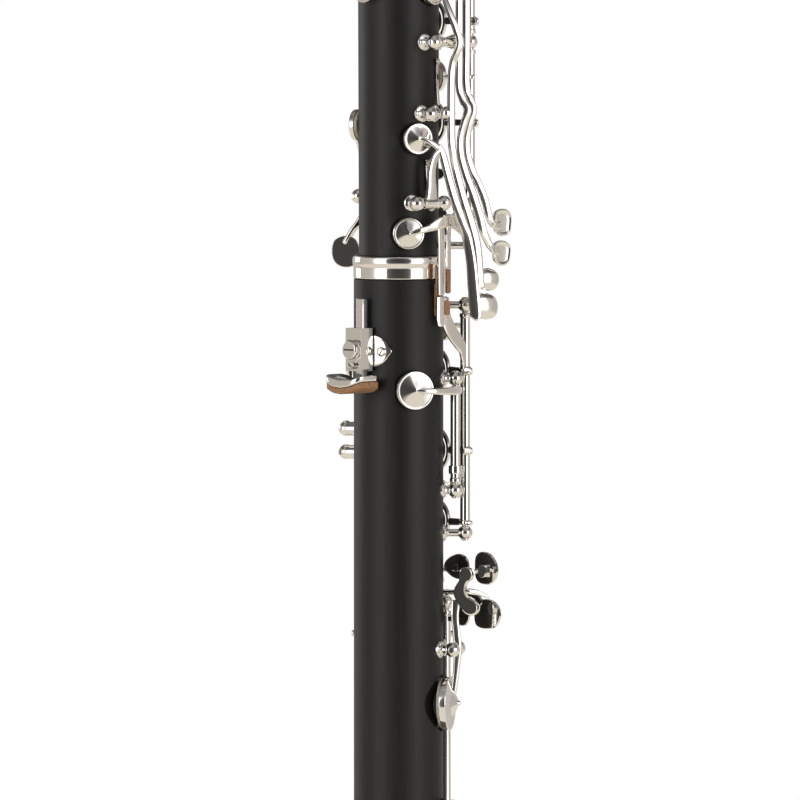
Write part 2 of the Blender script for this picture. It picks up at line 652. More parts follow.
b = Build()
cross_tube(b, P4)
arm(b, [P(116, 17.2, 432), P(117.5, 19.6, 432), C(21.2, 6.8, 432)], [2.8, 2.4, 2.2], 1.1)
lever(b, [P(112, 16.1, 463), C(18.5, 6.6, 459), C(21.2, 6.8, 452), C(21.2, 6.8, 430), C(21.2, 6.8, 405), C(21.2, 6.8, 391), C(22.3, 7.0, 386.7), C(23.2, 7.1, 383.7), C(22.4, 7.0, 379.8), C(21.4, 6.7, 374.8), C(21.6, 6.4, 369.5), C(23.2, 5.9, 364),
          C(25.1, 5.7, 360), C(27, 5.4, 355), C(28.2, 5, 350), C(29.6, 4, 347.5)], [1.4, 1.9] + [2.35] * 14, 1.2,
      [100, 86, 70, 68, 68, 68, 64, 60, 66, 72, 70, 66, 64, 62, 62, 66])
cup(b, 112, 12.3, 463, 4.5)
outline_plate(b, C(32.2, 1.7, 348.2), 82, spline_loop([(3.0, 3.2), (3.5, 0.2), (2.8, -2.8), (0.4, -4.2), (-2.5, -3.6), (-3.3, -1.0), (-3.3, 2.2), (-1.8, 4.0), (0.9, 4.3)]), 1.7, edge=0.4, rim=True)
arm(b, [C(29.2, 4.4, 348.2), C(30.6, 3.2, 347.2), C(31.6, 2.2, 347.6)], [2.1, 2.5, 2.4], 1.2, 80)
b.make("side_lever_4", "side_key_4", ("side_key_4",))

# ---- resonance key: cup, wide curved strap, bridge bar with cork
b = Build()
tube(b, HR[0], HR[1], 343.5, 348.6)
arm(b, [P(57.6, 16.0, 345.2), P(63, 16.5, 345.5), P(71, 16.9, 346.3), C(10.2, 13.6, 347)], [0.8, 1.7, 2.0, 2.2], [0.8, 1.1, 1.2, 1.1])
arm(b, [C(9.6, 13.9, 346.8), C(12, 12.8, 347.9), C(14.3, 11.2, 348.8), C(16.2, 9.3, 349), C(18, 7.0, 347.8), C(19.6, 4.6, 346.4), C(21.4, 1.6, 345.9), C(22.3, 0.2, 345.8)], [2.2, 3.2, 4.0, 4.2, 4.2, 4.0, 3.8, 3.4], 0.9)
arm(b, [C(13, 11.0, 347.2), C(13.2, 10.7, 342), C(13.2, 10.6, 334), C(13.2, 10.6, 326.2)], [2.9, 2.9, 2.9, 2.7], 1.1, 90, power=4)
cup(b, 57.6, 12.1, 345.2, 4.6)
arm(b, [C(12.5, 9.9, 334.5), C(12.5, 9.9, 326)], 2.2, 0.8, 90, CORK, power=6)
b.make("resonance_strap", "resonance_key", ("resonance_key",))

# ---- ring keys of the upper joint
def ring_key(name, body, a_h, r_h, z0, z1, g, rings, cups, extra=None):
    b = Build()
    for (ar, rt, z, ri, ro, t, side) in rings:
        ringpiece(b, ar, rt, z, ri, ro, t)
        h = P(a_h, r_h, z)
        e = P(ar, rt - 0.65, z) + side * (ri + ro) / 2 * np.array([math.cos(math.radians(ar)), math.sin(math.radians(ar)), 0])
        mid = (h + e) / 2
        mid = mid * (1 + 0.06)
        mid[2] = z
        u = (h - e) / np.linalg.norm(h - e)
        room = 2 * (min(z - z0, z1 - z) + 0.05)
        arm(b, [h + u * 2.9, h + u * 1.6, h, mid, e], [min(x, room) for x in (2.0, 3.0, 3.2)] + [2.1, 2.4], [1.0, 2.0, 2.8, 1.5, 1.1], n=6, power=3.2)
    for (ac, rs, z, pr) in cups:
        cup(b, ac, rs, z, pr)
        h = P(a_h, r_h, z)
        e = P(ac, rs + 3.8, z)
        mid = (h + e) / 2
        mid = mid / np.linalg.norm(mid[:2]) * (np.linalg.norm(mid[:2]) + 0.9)
        mid[2] = z
        arm(b, [h + (h - e) * 0.1, h, mid, e], [1.6, 2.6, 1.8, 0.8], [1.6, 2.4, 1.4, 1.0], n=6, power=2.6)
    b.turn(a_h, r_h, -g)
    tube(b, a_h, r_h, z0, z1)
    if extra:
        extra(b)
    b.make(name, body, (body,))


def bridge_upper(b):
    arm(b, [C(22.3, 0, 350.6), C(19.4, 2.3, 350.6), C(16.9, 4.9, 349.8), C(15.6, 6.2, 346.5), C(15.5, 6.4, 340), C(15.5, 6.4, 334)], [2.8, 2.6, 2.4, 2.2, 2.1, 2.1], 1.0, [150, 130, 112, 105, 100, 100], power=4)
    arm(b, [C(15.4, 6.2, 334.5), C(15.4, 6.2, 326.6)], 2.0, 1.0, 100, CORK, power=6)


ring_key("ring_key_second", "second_ring_key", 135, 22.3, 348.8, 402.1, 5.5, [(180, 14, 379.3, 5.8, 6.9, 1.2, 1)], [(176, 12.3, 393.6, 4.6)], bridge_upper)
ring_key("ring_key_first", "first_ring_key", 135, 22.3, 407.1, 438.1, 5.5, [(180, 14, 411, 5.8, 6.9, 1.2, 1)], [(180, 12.3, 428, 4.6)])
ring_key("ring_key_thumb", "thumb_ring_key", 302, 17.5, 422.8, 444.2, 5.5, [(0, 14, 423.8, 5.8, 6.9, 1.2, 1)], [(338, 12.3, 441, 4.6)])


# ---- lower ring key with its bridge
def bridge_lower(b):
    arm(b, [C(13.0, 9.6, 325.2), C(13.0, 9.6, 322.5), C(13.0, 9.6, 318.5), C(13.2, 9.5, 316.4)], [2.7, 2.7, 2.8, 2.5], 1.1, 83, power=4)
    # the wide strap from the bridge to the hinge tube
    strap = [C(14.5, 7.4, 325), C(14.5, 7.2, 320.5), C(15.2, 6.7, 317.2), C(16.8, 5.2, 313.8), C(18.8, 3.0, 310.8), C(20.3, 0.9, 308), C(20.8, 0.2, 303.5)]
    arm(b, strap, [2.6, 3.2, 4.2, 4.4, 4.2, 3.6, 2.6], 1.1, [80, 82, 84, 86, 88, 90, 90], power=5)
    arm(b, [C(15.1, 7.9, 323.9), C(15.1, 7.9, 319.8)], 2.1, 0.6, 80, CORK, power=8)
    arm(b, [C(12.1, 9.0, 329.2), C(12.1, 8.8, 319.5)], 1.9, 0.6, 66, CORK, power=8)


ring_key("ring_key_lower", "lower_ring_key", 137, 20.8, 253.6, 319.9, 5, [(180, 15.5, z, 6, 7.1, 1.25, 1) for z in (301.75, 276.75, 254.25)], [(166, 13.7, 315.8, 4.6)], bridge_lower)

# ---- lower sliver key
b = Build()
tube(b, 125, 18, 267.1, 297.1)
arm(b, [P(64, 17.3, 296.4), P(72, 17.9, 296.3), P(85, 18.6, 296.1), P(104, 18.9, 296), P(122, 19.3, 295.9), P(130, 19.2, 295.9)], [0.7, 1.5, 2.1, 2.4, 2.7, 1.8], [0.8, 1.1, 1.2, 1.3, 1.6, 1.2])
arm(b, [P(125, 18, 271.2), P(133, 17.4, 269.5), P(142, 16.8, 267), P(155, 16.9, 265.7), P(176, 17.3, 265.7)], [2.6, 2.2, 1.8, 1.8, 2.2], 1.2)
b.add(*lathe([(0, 0), (2.0, 0), (2.1, 0.3), (2.1, 2.3), (2.0, 2.6), (0, 2.6)], P(125, 18, 269.8), (0, 0, 1), seg=28, rad=0.15))
cup(b, 64, 13.7, 296.4, 5.7)
touch(b, 183, P(183, 17.3, 265.7), 9, 4.0, 1.2, 0.5, 0.25)
b.make("sliver_lower", "lower_sliver_key", ("lower_sliver_key",))

# ---- upper sliver key
b = Build()
tube(b, 212, 17.5, 359.2, 371.4)
arm(b, [P(212, 17.9, 368.5), P(226, 18.0, 369), P(240, 16, 369)], [2.4, 2.0, 0.8], [2.2, 1.3, 1.0])
arm(b, [P(212, 17.9, 363), P(200, 17.8, 363), P(188, 17.4, 363)], [2.4, 2.0, 2.2], [2.2, 1.3, 1.1])
cup(b, 240, 12.2, 369, 4.5)
touch(b, 184, P(184, 17.3, 363), 9, 4.2, 1.2, 0.5, 0.25)
b.make("sliver_upper", "upper_sliver_key", ("upper_sliver_key",))

# ---- C sharp key
b = Build()
cross_tube(b, CS)
lever(b, [P(291, 16.0, 378.5), P(283, 16.3, 377), P(273, 16.5, 372.5), P(264.5, 17.0, 366), P(258, 18.1, 359), P(257, 18.6, 353), P(262, 20, 348.5), P(266.5, 22.3, 344.5), P(269.5, 23.7, 341)], [0.9, 1.7, 2.0, 2.2, 2.6, 2.4, 2.3, 2.3, 2.6], 1.2)
cup(b, 291, 12.2, 378.5, 4.6)
outline_plate(b, (24.2, 0.2, 338.5), 221, spline_loop([(4.6, 2.6), (5.4, -1.2), (3.4, -4.4), (0, -5.0), (-2.8, -3.4), (-3.8, 0.2), (-3.0, 3.4), (0, 4.9), (2.8, 4.5)]), 1.2, 0.35, edge=0.4)
b.make("key_csharp", "csharp_key", ("csharp_key",))

# ---- register, throat keys
b = Build()
cross_tube(b, RG)
lever(b, [P(6, 16.0, 502), P(6, 16.6, 494), P(6, 17.6, 480), P(6, 18.3, 468), P(7, 18.6, 456), P(8.5, 18.2, 446), P(9, 17.6, 441)], [0.9, 1.7, 2.1, 2.8, 2.4, 2.6, 3.4], 1.3)
cup(b, 6, 12.3, 502, 4.2)
touch(b, 9, P(9, 17.7, 439), 6.2, 9, 1.3, 0.6, 0.0)
b.make("key_register", "register_key", ("register_key",))
b = Build()
cross_tube(b, TA)
lever(b, [P(176, 16.0, 486), P(176, 17, 479), P(176, 18.2, 470), P(174.5, 18.5, 464), P(172.5, 18.1, 459)], [0.9, 1.8, 2.7, 2.5, 3.4], 1.3)
cup(b, 176, 12.3, 486, 4.4)
touch(b, 172, P(172, 18, 457), 6.4, 9.4, 1.3, 0.6, 0.0)
b.make("key_throat_a", "throat_a_key", ("throat_a_key",))
b = Build()
tube(b, 212, 18, 448.5, 478.5)
arm(b, [P(212, 18.4, 474), P(227, 18.2, 474), P(240, 16.1, 474)], [2.6, 2.0, 0.9], [2.4, 1.3, 1.0])
arm(b, [P(212, 18.4, 450.5), P(206, 18.8, 450.5), P(200, 18.6, 450.5)], [2.6, 2.4, 2.6], [2.4, 1.4, 1.2])
cup(b, 240, 12.3, 474, 4.6)
touch(b, 199, P(199, 18.6, 450.5), 8, 6.4, 1.3, 0.6, 0.0)
b.make("key_throat_g", "throat_gsharp_key", ("throat_gsharp_key",))

def end_block(b, loop, d0, d1, shift):
    # a thick cut-out end: the loop in s and z at depth d0, carried back to d1 and sideways by shift
    loop = spline_loop(loop, 3)
    cen = np.array(loop).mean(0)
    rows, v, f = [], [], []
    k = len(loop)
    for q, sc in ((0.0, 0.88), (0.0, 0.94), (0.05, 0.985), (0.14, 1.0), (0.86, 1.0), (0.95, 0.985), (1.0, 0.94), (1.0, 0.88)):
        row = []
        for x, z in loop:
            px, pz = cen + (np.array([x, z]) - cen) * (1 - (1 - sc) * 0.7)
            row.append(len(v))
            v.append(C(px + shift * q, d0 + (d1 - d0) * q, pz))
        rows.append(row)
    for r0, r1 in zip(rows, rows[1:]):
        for i in range(k):
            j = (i + 1) % k
            f.append((r0[i], r0[j], r1[j], r1[i]))
    f.append(tuple(rows[0][::-1]))
    f.append(tuple(rows[-1]))
    vv = np.array(v)
    o = vv.mean(0)
    vol = sum(np.dot(vv[g[0]] - o, np.cross(vv[g[i]] - o, vv[g[i + 1]] - o)) for g in f for i in range(1, len(g) - 1))
    if vol < 0:
        f = [g[::-1] for g in f]
    b.add(vv, f)


# ---- A flat / E flat key: large cup, tapered arm, touch of the little-finger cluster
b = Build()
cross_tube(b, AE)
arm(b, [P(123, 17.2, 198), P(123, 18.0, 204), P(123, 18.6, 210), P(123, 18.9, 215), C(18.1, 4.1, 220), C(17.6, 4.4, 225), C(17.9, 4.4, 230)], [1.3, 1.8, 2.1, 2.6, 2.4, 2.4, 2.8], [1.0, 1.2, 1.3, 1.6, 1.4, 1.3, 1.3], [60, 58, 56, 54, 52, 50, 48])
E_LOOP = [(20.8, 240.6), (22.3, 240.0), (22.8, 238.6), (22.3, 237.1), (21.1, 236.4), (20.4, 234.8), (20.3, 233.0), (21.0, 231.3), (22.5, 230.2), (24.0, 229.2), (24.5, 227.8), (24.0, 226.2), (22.5, 225.5), (20.7, 226.2), (19.2, 228.2), (17.8, 230.4), (17.0, 232.6), (17.7, 234.8), (18.8, 236.6), (18.8, 238.6), (19.4, 240.1)]
end_block(b, E_LOOP, 5.2, 3.75, 1.0)
end_block(b, egg(2.4, 4.0, 24, shift=(25.9, 239.2)), 2.9, 1.6, 0.9)
arm(b, [C(20.0, 4.0, 233.2), C(22.5, 3.4, 233.0), C(25.5, 2.3, 232.2), C(28.3, 1.4, 230.9)], [1.2, 1.8, 1.5, 0.6], [1.2, 1.3, 0.9, 0.5], 60)
arm(b, [C(21.5, 4.0, 238.6), C(24.5, 2.4, 239.2), (-19.2, -18.3, 240)], [1.8, 1.6, 1.8], [1.2, 1.0, 1.0], 150)
r = 8.55
b.add(*lathe([(0, 2.25), (8.2, 2.25), (8.2, 1.1), (r, 1.1), (r, 2.9), (r - 0.15, 3.15), (r - 0.4, 3.2), (4.2, 3.9), (0.9, 5.6), (0.55, 6.2), (0, 6.3)], P(123, 13.5, 198), outdir(123), seg=64, rad=0.12))
outline_plate(b, (-19.8, -18.6, 240), 180, spline_loop([(5.4, 1.0), (5.0, -2.6), (2.2, -4.8), (-1.8, -4.9), (-4.0, -3.2), (-4.4, 0.2), (-4.0, 3.6), (-1.8, 5.1), (2.4, 4.6)]), 0.9, 0.4, edge=0.3)
b.make("key_aflat", "aflat_key", ("aflat_key",))


# ---- low keys: F/C, F sharp/C sharp, E/B
def foot(name, body, a, z0, z1, cz, pr, extra):
    b = Build()
    pts = []
    k = 6
    for i in range(k + 1):
        aa = a + (120 - a) * i / k
        rr = 18.3 if i < k else 17.5
        pts.append(P(aa, rr, cz))
    arm(b, pts, [2.8, 2.8, 2.8, 2.6, 2.4, 2.0, 1.0], 1.3)
    cup(b, 120, 13.5, cz, pr)
    b.turn(a, 18.3, 7)
    tube(b, a, 18.3, z0, z1)
    extra(b)
    b.make(name, body, (body,))


def x_fc(b):
    arm(b, [P(184, 18.3, 231.8), (-5, -18.7, 231.8), (-11, -18.8, 231.8), (-15.5, -18.7, 231), (-18, -18.6, 228.5)], [1.8, 1.6, 1.6, 2.2, 3.2], [1.8, 1.3, 1.2, 1.2, 1.2], 180)
    end_block(b, egg(2.0, 3.6, 24, shift=(28.8, 227.6)), 3.3, 2.1, 0.5)
    outline_plate(b, (-20.2, -18.6, 226), 180, spline_loop([(5.6, 2.2), (6.4, -1.0), (4.0, -4.2), (-0.8, -5.0), (-4.4, -3.9), (-5.1, -0.4), (-4.6, 2.6), (-1.6, 4.2), (2.6, 4.2)]), 0.9, 0.4, edge=0.3)


def x_fs(b):
    arm(b, [P(171, 18.3, 223.5), (-6, -18.7, 223.7), (-8.5, -18.6, 224.5)], [2.2, 2.2, 3.0], [2.0, 1.3, 1.2], 180)
    outline_plate(b, (-9.2, -18.6, 225.2), 180, egg(7.8, 8.8, 32, 0.3), 0.9, 0.4, edge=0.3)
    arm(b, [P(171, 18.4, 218.5), P(171.5, 20.7, 218.5)], 2.0, 1.6, 100)
    arm(b, [P(170.5 + i * 99 / 12, 20.7, 218.5) for i in range(13)], 1.9, 1.0)


def x_eb(b):
    arm(b, [P(197, 18.3, 239), (2, -18.9, 239), (-3, -18.8, 239.1), (-8, -18.6, 239.6)], [2.0, 1.7, 2.0, 3.0], [1.8, 1.2, 1.2, 1.2], 180)
    outline_plate(b, (-7.3, -18.6, 240), 180, egg(11.1, 9.8, 32, 0.4), 0.9, 0.4, edge=0.3)
    arm(b, [P(198 + i * 59.5 / 8, 19.2, 224) for i in range(9)], 1.9, 1.0)


foot("key_f_c", "f_c_key", 184, 135.6, 232.9, 140, 7.9, x_fc)
foot("key_fsharp", "fsharp_key", 171, 155.6, 225.9, 160, 7.4, x_fs)
foot("key_e_b", "e_b_key", 197, 115.6, 239.9, 120, 8.1, x_eb)

# ---- the dark spot-faced edge of the A flat tone hole, a crescent lying on the wood beside the pad
HOLE = bpy.data.materials.new("blackwood_spotface")
HOLE.use_nodes = True
ht = HOLE.node_tree
hb = [n for n in ht.nodes if n.type == "BSDF_PRINCIPLED"][0]
hn = noise(ht, 700.0, 4.0)
hc = ramp(ht, hn.outputs[0], [(0.3, (0.0015, 0.0013, 0.0012)), (0.7, (0.003, 0.0027, 0.0025))])
ht.links.new(hc.outputs[0], hb.inputs["Base Color"])
hb.inputs["Roughness"].default_value = 0.35
hb.inputs["Specular IOR Level"].default_value = 0.12
b = Build()
NU, NZ = 16, 15
v, f = [], []
for side_r in (13.96, 14.05):
    for i in range(NU + 1):
        u = -9.35 + (9.35 - 4.5) * (i / NU) ** 1.4
        hz = 8.4 * math.sqrt(max(0.0, 1 - (u / 9.4) ** 2)) + 0.02
        for j in range(NZ):
            v.append(P(123 + math.degrees(math.asin(u / 14.0)), side_r, 198 + hz * (2 * j / (NZ - 1) - 1)))
M0 = (NU + 1) * NZ
for i in range(NU):
    for j in range(NZ - 1):
        p, q, r2, r3 = i * NZ + j, (i + 1) * NZ + j, (i + 1) * NZ + j + 1, i * NZ + j + 1
        f.append((p, r3, r2, q))
        f.append((M0 + p, M0 + q, M0 + r2, M0 + r3))
for i in range(NU):
    for j, flip in ((0, False), (NZ - 1, True)):
        p, q = i * NZ + j, (i + 1) * NZ + j
        g = (p, q, M0 + q, M0 + p)
        f.append(g[::-1] if flip else g)
for j in range(NZ - 1):
    for i, flip in ((0, True), (NU, False)):
        p, q = i * NZ + j, i * NZ + j + 1
        g = (p, q, M0 + q, M0 + p)
        f.append(g[::-1] if flip else g)
vv = np.array(v)
oo = vv.mean(0)
if sum(np.dot(vv[g[0]] - oo, np.cross(vv[g[i]] - oo, vv[g[i + 1]] - oo)) for g in f for i in range(1, len(g) - 1)) < 0:
    f = [g[::-1] for g in f]
b.add(vv, f, HOLE)
b.make("tone_hole_edge", "clarinet", ())

# ---- left-hand levers
for nm, body, a, z0, z1, za, off, pa, pz, pw, ph in (("lever_lh_e", "lh_e_lever", 257.5, 222.5, 323.5, 225.3, 1.9, 250, 322, 8.4, 13), ("lever_lh_fsharp", "lh_fsharp_lever", 269.5, 217, 307, 218.5, -1.9, 273, 303, 6.1, 12)):
    b = Build()
    cross_tube(b, LL, 3.6, off)
    arm(b, [P(a, 17.3, z0), P(a, 17.3, (z0 + 276) / 2), P(a, 17.4, 276), P(a, 17.5, (z1 + 276) / 2), P(a, 17.5, z1 - 6), P((a + pa) / 2, 18.6, pz)], [2.4, 2.2, 2.6, 2.2, 2.4, 3.4], [1.2, 1.2, 1.5, 1.2, 1.3, 1.2])
    outline_plate(b, P(pa, 19.2, pz), pa, egg(pw, ph, 32), 1.2, 0.5, edge=0.4)
    b.add(*lathe([(0, 0), (0.95, 0), (0.95, 1.2 if a < 260 else 2.6), (0, 1.2 if a < 260 else 2.6)], P(a, 17.3, za - 1.3 if a < 260 else za), outdir(a), seg=18, rad=0.1))
    b.make(nm, body, (body,))

# ---- thumb rest
b = Build()
pts = [P(-36 + i * 6, 14.45, 308.6) for i in range(13)]
arm(b, pts, [1.0, 5.2, 8.0, 9.3, 9.9, 9.9, 9.9, 9.9, 9.9, 9.3, 8.0, 5.2, 1.0], 0.75, n=3, power=5)
prism(b, [(-3.4, 14.85), (-2.25, 14.85), (-2.25, 17.55), (2.25, 17.55), (2.25, 14.85), (3.4, 14.85), (3.4, 19.9), (-3.4, 19.9)], 302.4, 315.8)
b.add(*lathe([(0, 0), (1.3, 0), (1.3, 1.3), (1.1, 1.6), (0, 1.65)], (0, 19.85, 304.3), (0, 1, 0), seg=28, rad=0.1))
arm(b, [(-0.7, 21.5, 303.8), (0.7, 21.5, 304.8)], 0.4, 0.1, 0, SCREW, power=6)
for a in (-24, 24):
    b.add(*lathe([(0, 0), (1.6, 0), (1.6, 0.3), (1.1, 0.75), (0, 0.8)], P(a, 14.7, 308.4), outdir(a), seg=28, rad=0.1), STEEL)
    c0 = P(a, 15.52, 308.4)
    arm(b, [c0 + np.array([0, 0, -1.1]) + 0.6 * np.array([math.cos(math.radians(a)), math.sin(math.radians(a)), 0]), c0 + np.array([0, 0, 1.1]) - 0.6 * np.array([math.cos(math.radians(a)), math.sin(math.radians(a)), 0])], 0.35, 0.12, a, SCREW, power=6)
b.make("thumb_rest_block", "clarinet", ("thumb_rest_base",), bevel=0.25)
b = Build()
box(b, (-1.6, 15.2, 298.6), (1.6, 17.2, 324.9))
b.make("thumb_rest_bar", "thumb_rest_hook", (), bevel=0.25)
b = Build()
loop = []
for i in range(40):
    t = 2 * math.pi * i / 40
    c, s = math.cos(t), math.sin(t)
    loop.append((8.0 * math.copysign(abs(c) ** 0.5, c), 20.3 + 5.8 * math.copysign(abs(s) ** 0.5, s)))
v, f = [], []
rows = []
for sc, up in ((0.0, 0.0), (0.6, 0.0), (0.985, 0.0), (1.0, 0.25), (1.0, 1.45), (0.985, 1.7), (0.8, 1.45), (0.4, 1.2), (0.0, 1.15)):
    if sc == 0.0:
        rows.append([len(v)])
        v.append((0, 20.3, 297.5 + up))
        continue
    row = []
    for x, y in loop:
        px, py = x * sc, 20.3 + (y - 20.3) * sc
        row.append(len(v))
        v.append((px, py, 297.5 + up + 0.034 * px * px))
    rows.append(row)
for r0, r1 in zip(rows, rows[1:]):
    for i in range(40):
        j = (i + 1) % 40
        if len(r0) == 1:
            f.append((r0[0], r1[j], r1[i]))
        elif len(r1) == 1:
            f.append((r0[i], r0[j], r1[0]))
        else:
            f.append((r0[i], r0[j], r1[j], r1[i]))
b.add(v, f)
b.make("thumb_rest_plate", "thumb_rest_hook", ("thumb_rest_hook",))
b = Build()
v2 = []
rows = []
f = []
for sc, up in ((0.0, -2.1), (0.9, -2.1), (0.97, -1.8), (0.97, -0.25), (0.0, -0.05)):
    if sc == 0.0:
        rows.append([len(v2)])
        v2.append((0, 20.3, 297.5 + up))
        continue
    row = []
    for x, y in loop:
        px, py = x * sc, 20.3 + (y - 20.3) * sc
        row.append(len(v2))
        v2.append((px, py, 297.5 + up + 0.0335 * px * px))
    rows.append(row)
for r0, r1 in zip(rows, rows[1:]):
    for i in range(40):
        j = (i + 1) % 40
        if len(r0) == 1:
            f.append((r0[0], r1[j], r1[i]))
        elif len(r1) == 1:
            f.append((r0[i], r0[j], r1[0]))
        else:
            f.append((r0[i], r0[j], r1[j], r1[i]))
b.add(v2, f, CORK)
b.make("thumb_rest_pad", "thumb_rest_hook", ("thumb_rest_cork",))
b = Build()
b.add(*lathe([(0, 2.42), (3.0, 2.42), (3.1, 2.9), (3.1, 4.1), (2.7, 4.45), (0, 4.45)], (0, 17.55, 309.1), (0, 1, 0), seg=36, rad=0.15))
box(b, (-2.2, 21.96, 308.85), (2.2, 22.04, 309.35), SCREW)
b.make("thumb_rest_clamp", "thumb_rest_screw", ("thumb_rest_screw",))

# ---- bell, barrel, mouthpiece, ligature
def bez(pts, n=8):
    return [tuple(p) for p in smooth_path(pts, n)]


def flare(z):
    return 16.2 + (39.6 - 16.2) * (1 - z / 98) ** 3.1


b = Build()
outer = [(39.3, 0.0), (39.35, 0.5), (38.4, 0.6), (38.4, 5.4), (flare(5.6) + 0.5, 5.6)] + [(flare(z) - 0.3, z) for z in np.linspace(7, 96.5, 40)] + [(16.2, 97.6), (15.5, 98.1), (15.5, 106)]
inner = [(12.1, 106), (12.1, 88), (10.2, 88)] + [(max(10.4, flare(z) - 4.4 - z / 70), z) for z in np.linspace(84, 6, 40)] + [(36.2, 1.6), (37.4, 0.2)]
b.add(*lathe(outer + inner, (0, 0, 0), (0, 0, 1), seg=128, rad=0.1, closed=True), WOOD)
b.make("bell_wood", "clarinet", ("bell",))
b = Build()
prof = [(11.6, 531.2), (15.4, 531.2), (15.4, 538.0), (15.6, 538.3), (16.1, 539.4), (16.05, 541.5), (15.75, 545.5)] + bez([(15.5, 548), (15.15, 556), (15.05, 564), (15.15, 572), (15.5, 580)], 5) + [(15.75, 582.5), (16.05, 586.5), (16.1, 588.6), (15.6, 589.8), (15.4, 590), (15.4, 597), (11.6, 597), (11.6, 580), (7.33, 580), (7.33, 548.6), (11.6, 548.6)]
b.add(*lathe(prof, (0, 0, 0), (0, 0, 1), seg=96, rad=0.25, closed=True), WOOD)
b.make("barrel_wood", "clarinet", ("barrel",))

# ligature band with two raised ribs and its screws
b = Build()
b.add(*lathe([(13.05, 0), (13.6, 0), (13.75, 0.4), (13.75, 3.2), (13.45, 3.6), (13.45, 8.8), (13.75, 9.2), (13.75, 11.8), (13.45, 12.2), (13.45, 17.4), (13.75, 17.8), (13.75, 20.6), (13.6, 21), (13.05, 21)], (0, 0, 611), (0, 0, 1), seg=96, rad=0.15, closed=True))
for z in (615.5, 627.5):
    for sx in (-3.2, 3.2):
        box(b, (sx - 1.4, 13.2, z - 2), (sx + 1.4, 17.8, z + 2))
b.make("ligature_band", "clarinet", ("ligature",), bevel=0.2)
b = Build()
for z in (615.5, 627.5):
    b.add(*lathe([(0, 0), (0.9, 0), (0.9, 14), (1.2, 14), (2.7, 14.3), (2.9, 15), (2.9, 17), (2.6, 17.8), (0, 18)], (-6, 16, z), (1, 0, 0), seg=32, rad=0.2))
b.make("ligature_screw_pair", "clarinet", ("ligature_screws",))

# ---- pads: bladder skin over felt with a rounded edge, each riding its key
def pad(body, spots, hinge=None):
    b = Build()
    for a, rs, z, pr in spots:
        b.add(*lathe([(0, 0.05), (pr - 0.6, 0.05), (pr - 0.08, 0.5), (pr - 0.08, 2.2), (0, 2.2)], P(a, rs, z), outdir(a), seg=56, rad=0.3), LEATHER)
    if hinge:
        b.turn(*hinge)
    node = body.replace("_key", "_pad")
    b.make(node + "_skin", body, (node,))


pad("register_key", [(6, 12.3, 502, 4.2)])
pad("thumb_ring_key", [(338, 12.3, 441, 4.6)], (302, 17.5, -5.5))
pad("throat_a_key", [(176, 12.3, 486, 4.4)])
pad("throat_gsharp_key", [(240, 12.3, 474, 4.6)])
pad("first_ring_key", [(180, 12.3, 428, 4.6)], (135, 22.3, -5.5))
pad("side_key_1", [(70, 12.2, 374.6, 4.5)])
pad("side_key_2", [(95, 12.3, 421, 4.5)])
pad("side_key_3", [(100, 12.3, 447, 4.5)])
pad("side_key_4", [(112, 12.3, 463, 4.5)])
pad("upper_sliver_key", [(240, 12.2, 369, 4.5)])
pad("csharp_key", [(291, 12.2, 378.5, 4.6)])
pad("second_ring_key", [(176, 12.3, 393.6, 4.6)], (135, 22.3, -5.5))
pad("resonance_key", [(57.6, 12.1, 345.2, 4.6)])
pad("lower_ring_key", [(166, 13.7, 315.8, 4.6)], (137, 20.8, -5))
pad("lower_sliver_key", [(64, 13.7, 296.4, 5.7)])
pad("aflat_key", [(123, 13.5, 198, 8.2)])
pad("f_c_key", [(120, 13.5, 140, 7.9)], (184, 18.3, 7))
pad("fsharp_key", [(120, 13.5, 160, 7.4)], (171, 18.3, 7))
pad("e_b_key", [(120, 13.5, 120, 8.1)], (197, 18.3, 7))

# ------------------------------------------------------------------ shown CAD nodes take the materials
SLOTS = {s["node"]: s["material_slot"] for s in frame["record"]["subparts"]}
LOOK = {"blackwood": WOOD, "hard_rubber": RUBBER, "cane": CANE, "cork": CORK, "blued_steel": STEEL, "pad_leather": LEATHER, "silver_plate": SILVER}
for name, ob in frame["nodes"].items():
    ob.data.materials.clear()
    ob.data.materials.append(LOOK[SLOTS[name]])

# ------------------------------------------------------------------ studio
sc = bpy.context.scene
bpy.ops.mesh.primitive_plane_add(size=1.5, location=(0, 0, -0.0005))
floor = bpy.context.object
floor.name = "studio_floor"
fm, ft, fb = new_mat("floor")
fn = noise(ft, 6.0)
fc = ramp(ft, fn.outputs[0], [(0.3, (0.86, 0.86, 0.855)), (0.7, (0.9, 0.9, 0.895))])
ft.links.new(fc.outputs[0], fb.inputs["Base Color"])
fb.inputs["Roughness"].default_value = 0.85
# seen directly, the floor is as evenly lit as the white backdrop
fe = ft.nodes.new("ShaderNodeEmission")
fe.inputs[0].default_value = (1, 1, 1, 1)
fg = ft.nodes.new("ShaderNodeEmission")
fg.inputs[0].default_value = (0.74, 0.69, 0.6, 1)
fmix2 = ft.nodes.new("ShaderNodeMixShader")
fmix = ft.nodes.new("ShaderNodeMixShader")
flp = ft.nodes.new("ShaderNodeLightPath")
fout = [n for n in ft.nodes if n.type == "OUTPUT_MATERIAL"][0]
ft.links.new(flp.outputs["Is Camera Ray"], fmix.inputs[0])
ft.links.new(fb.outputs[0], fmix.inputs[1])
ft.links.new(fe.outputs[0], fmix.inputs[2])
ft.links.new(flp.outputs["Is Glossy Ray"], fmix2.inputs[0])
ft.links.new(fmix.outputs[0], fmix2.inputs[1])
ft.links.new(fg.outputs[0], fmix2.inputs[2])
ft.links.new(fmix2.outputs[0], fout.inputs[0])
floor.data.materials.append(fm)

AZ = 45.0
EL = 3.0
toward = outdir(AZ) * math.cos(math.radians(EL)) + np.array([0, 0, math.sin(math.radians(EL))])
right = np.array([-0.70711, -0.70711, 0])

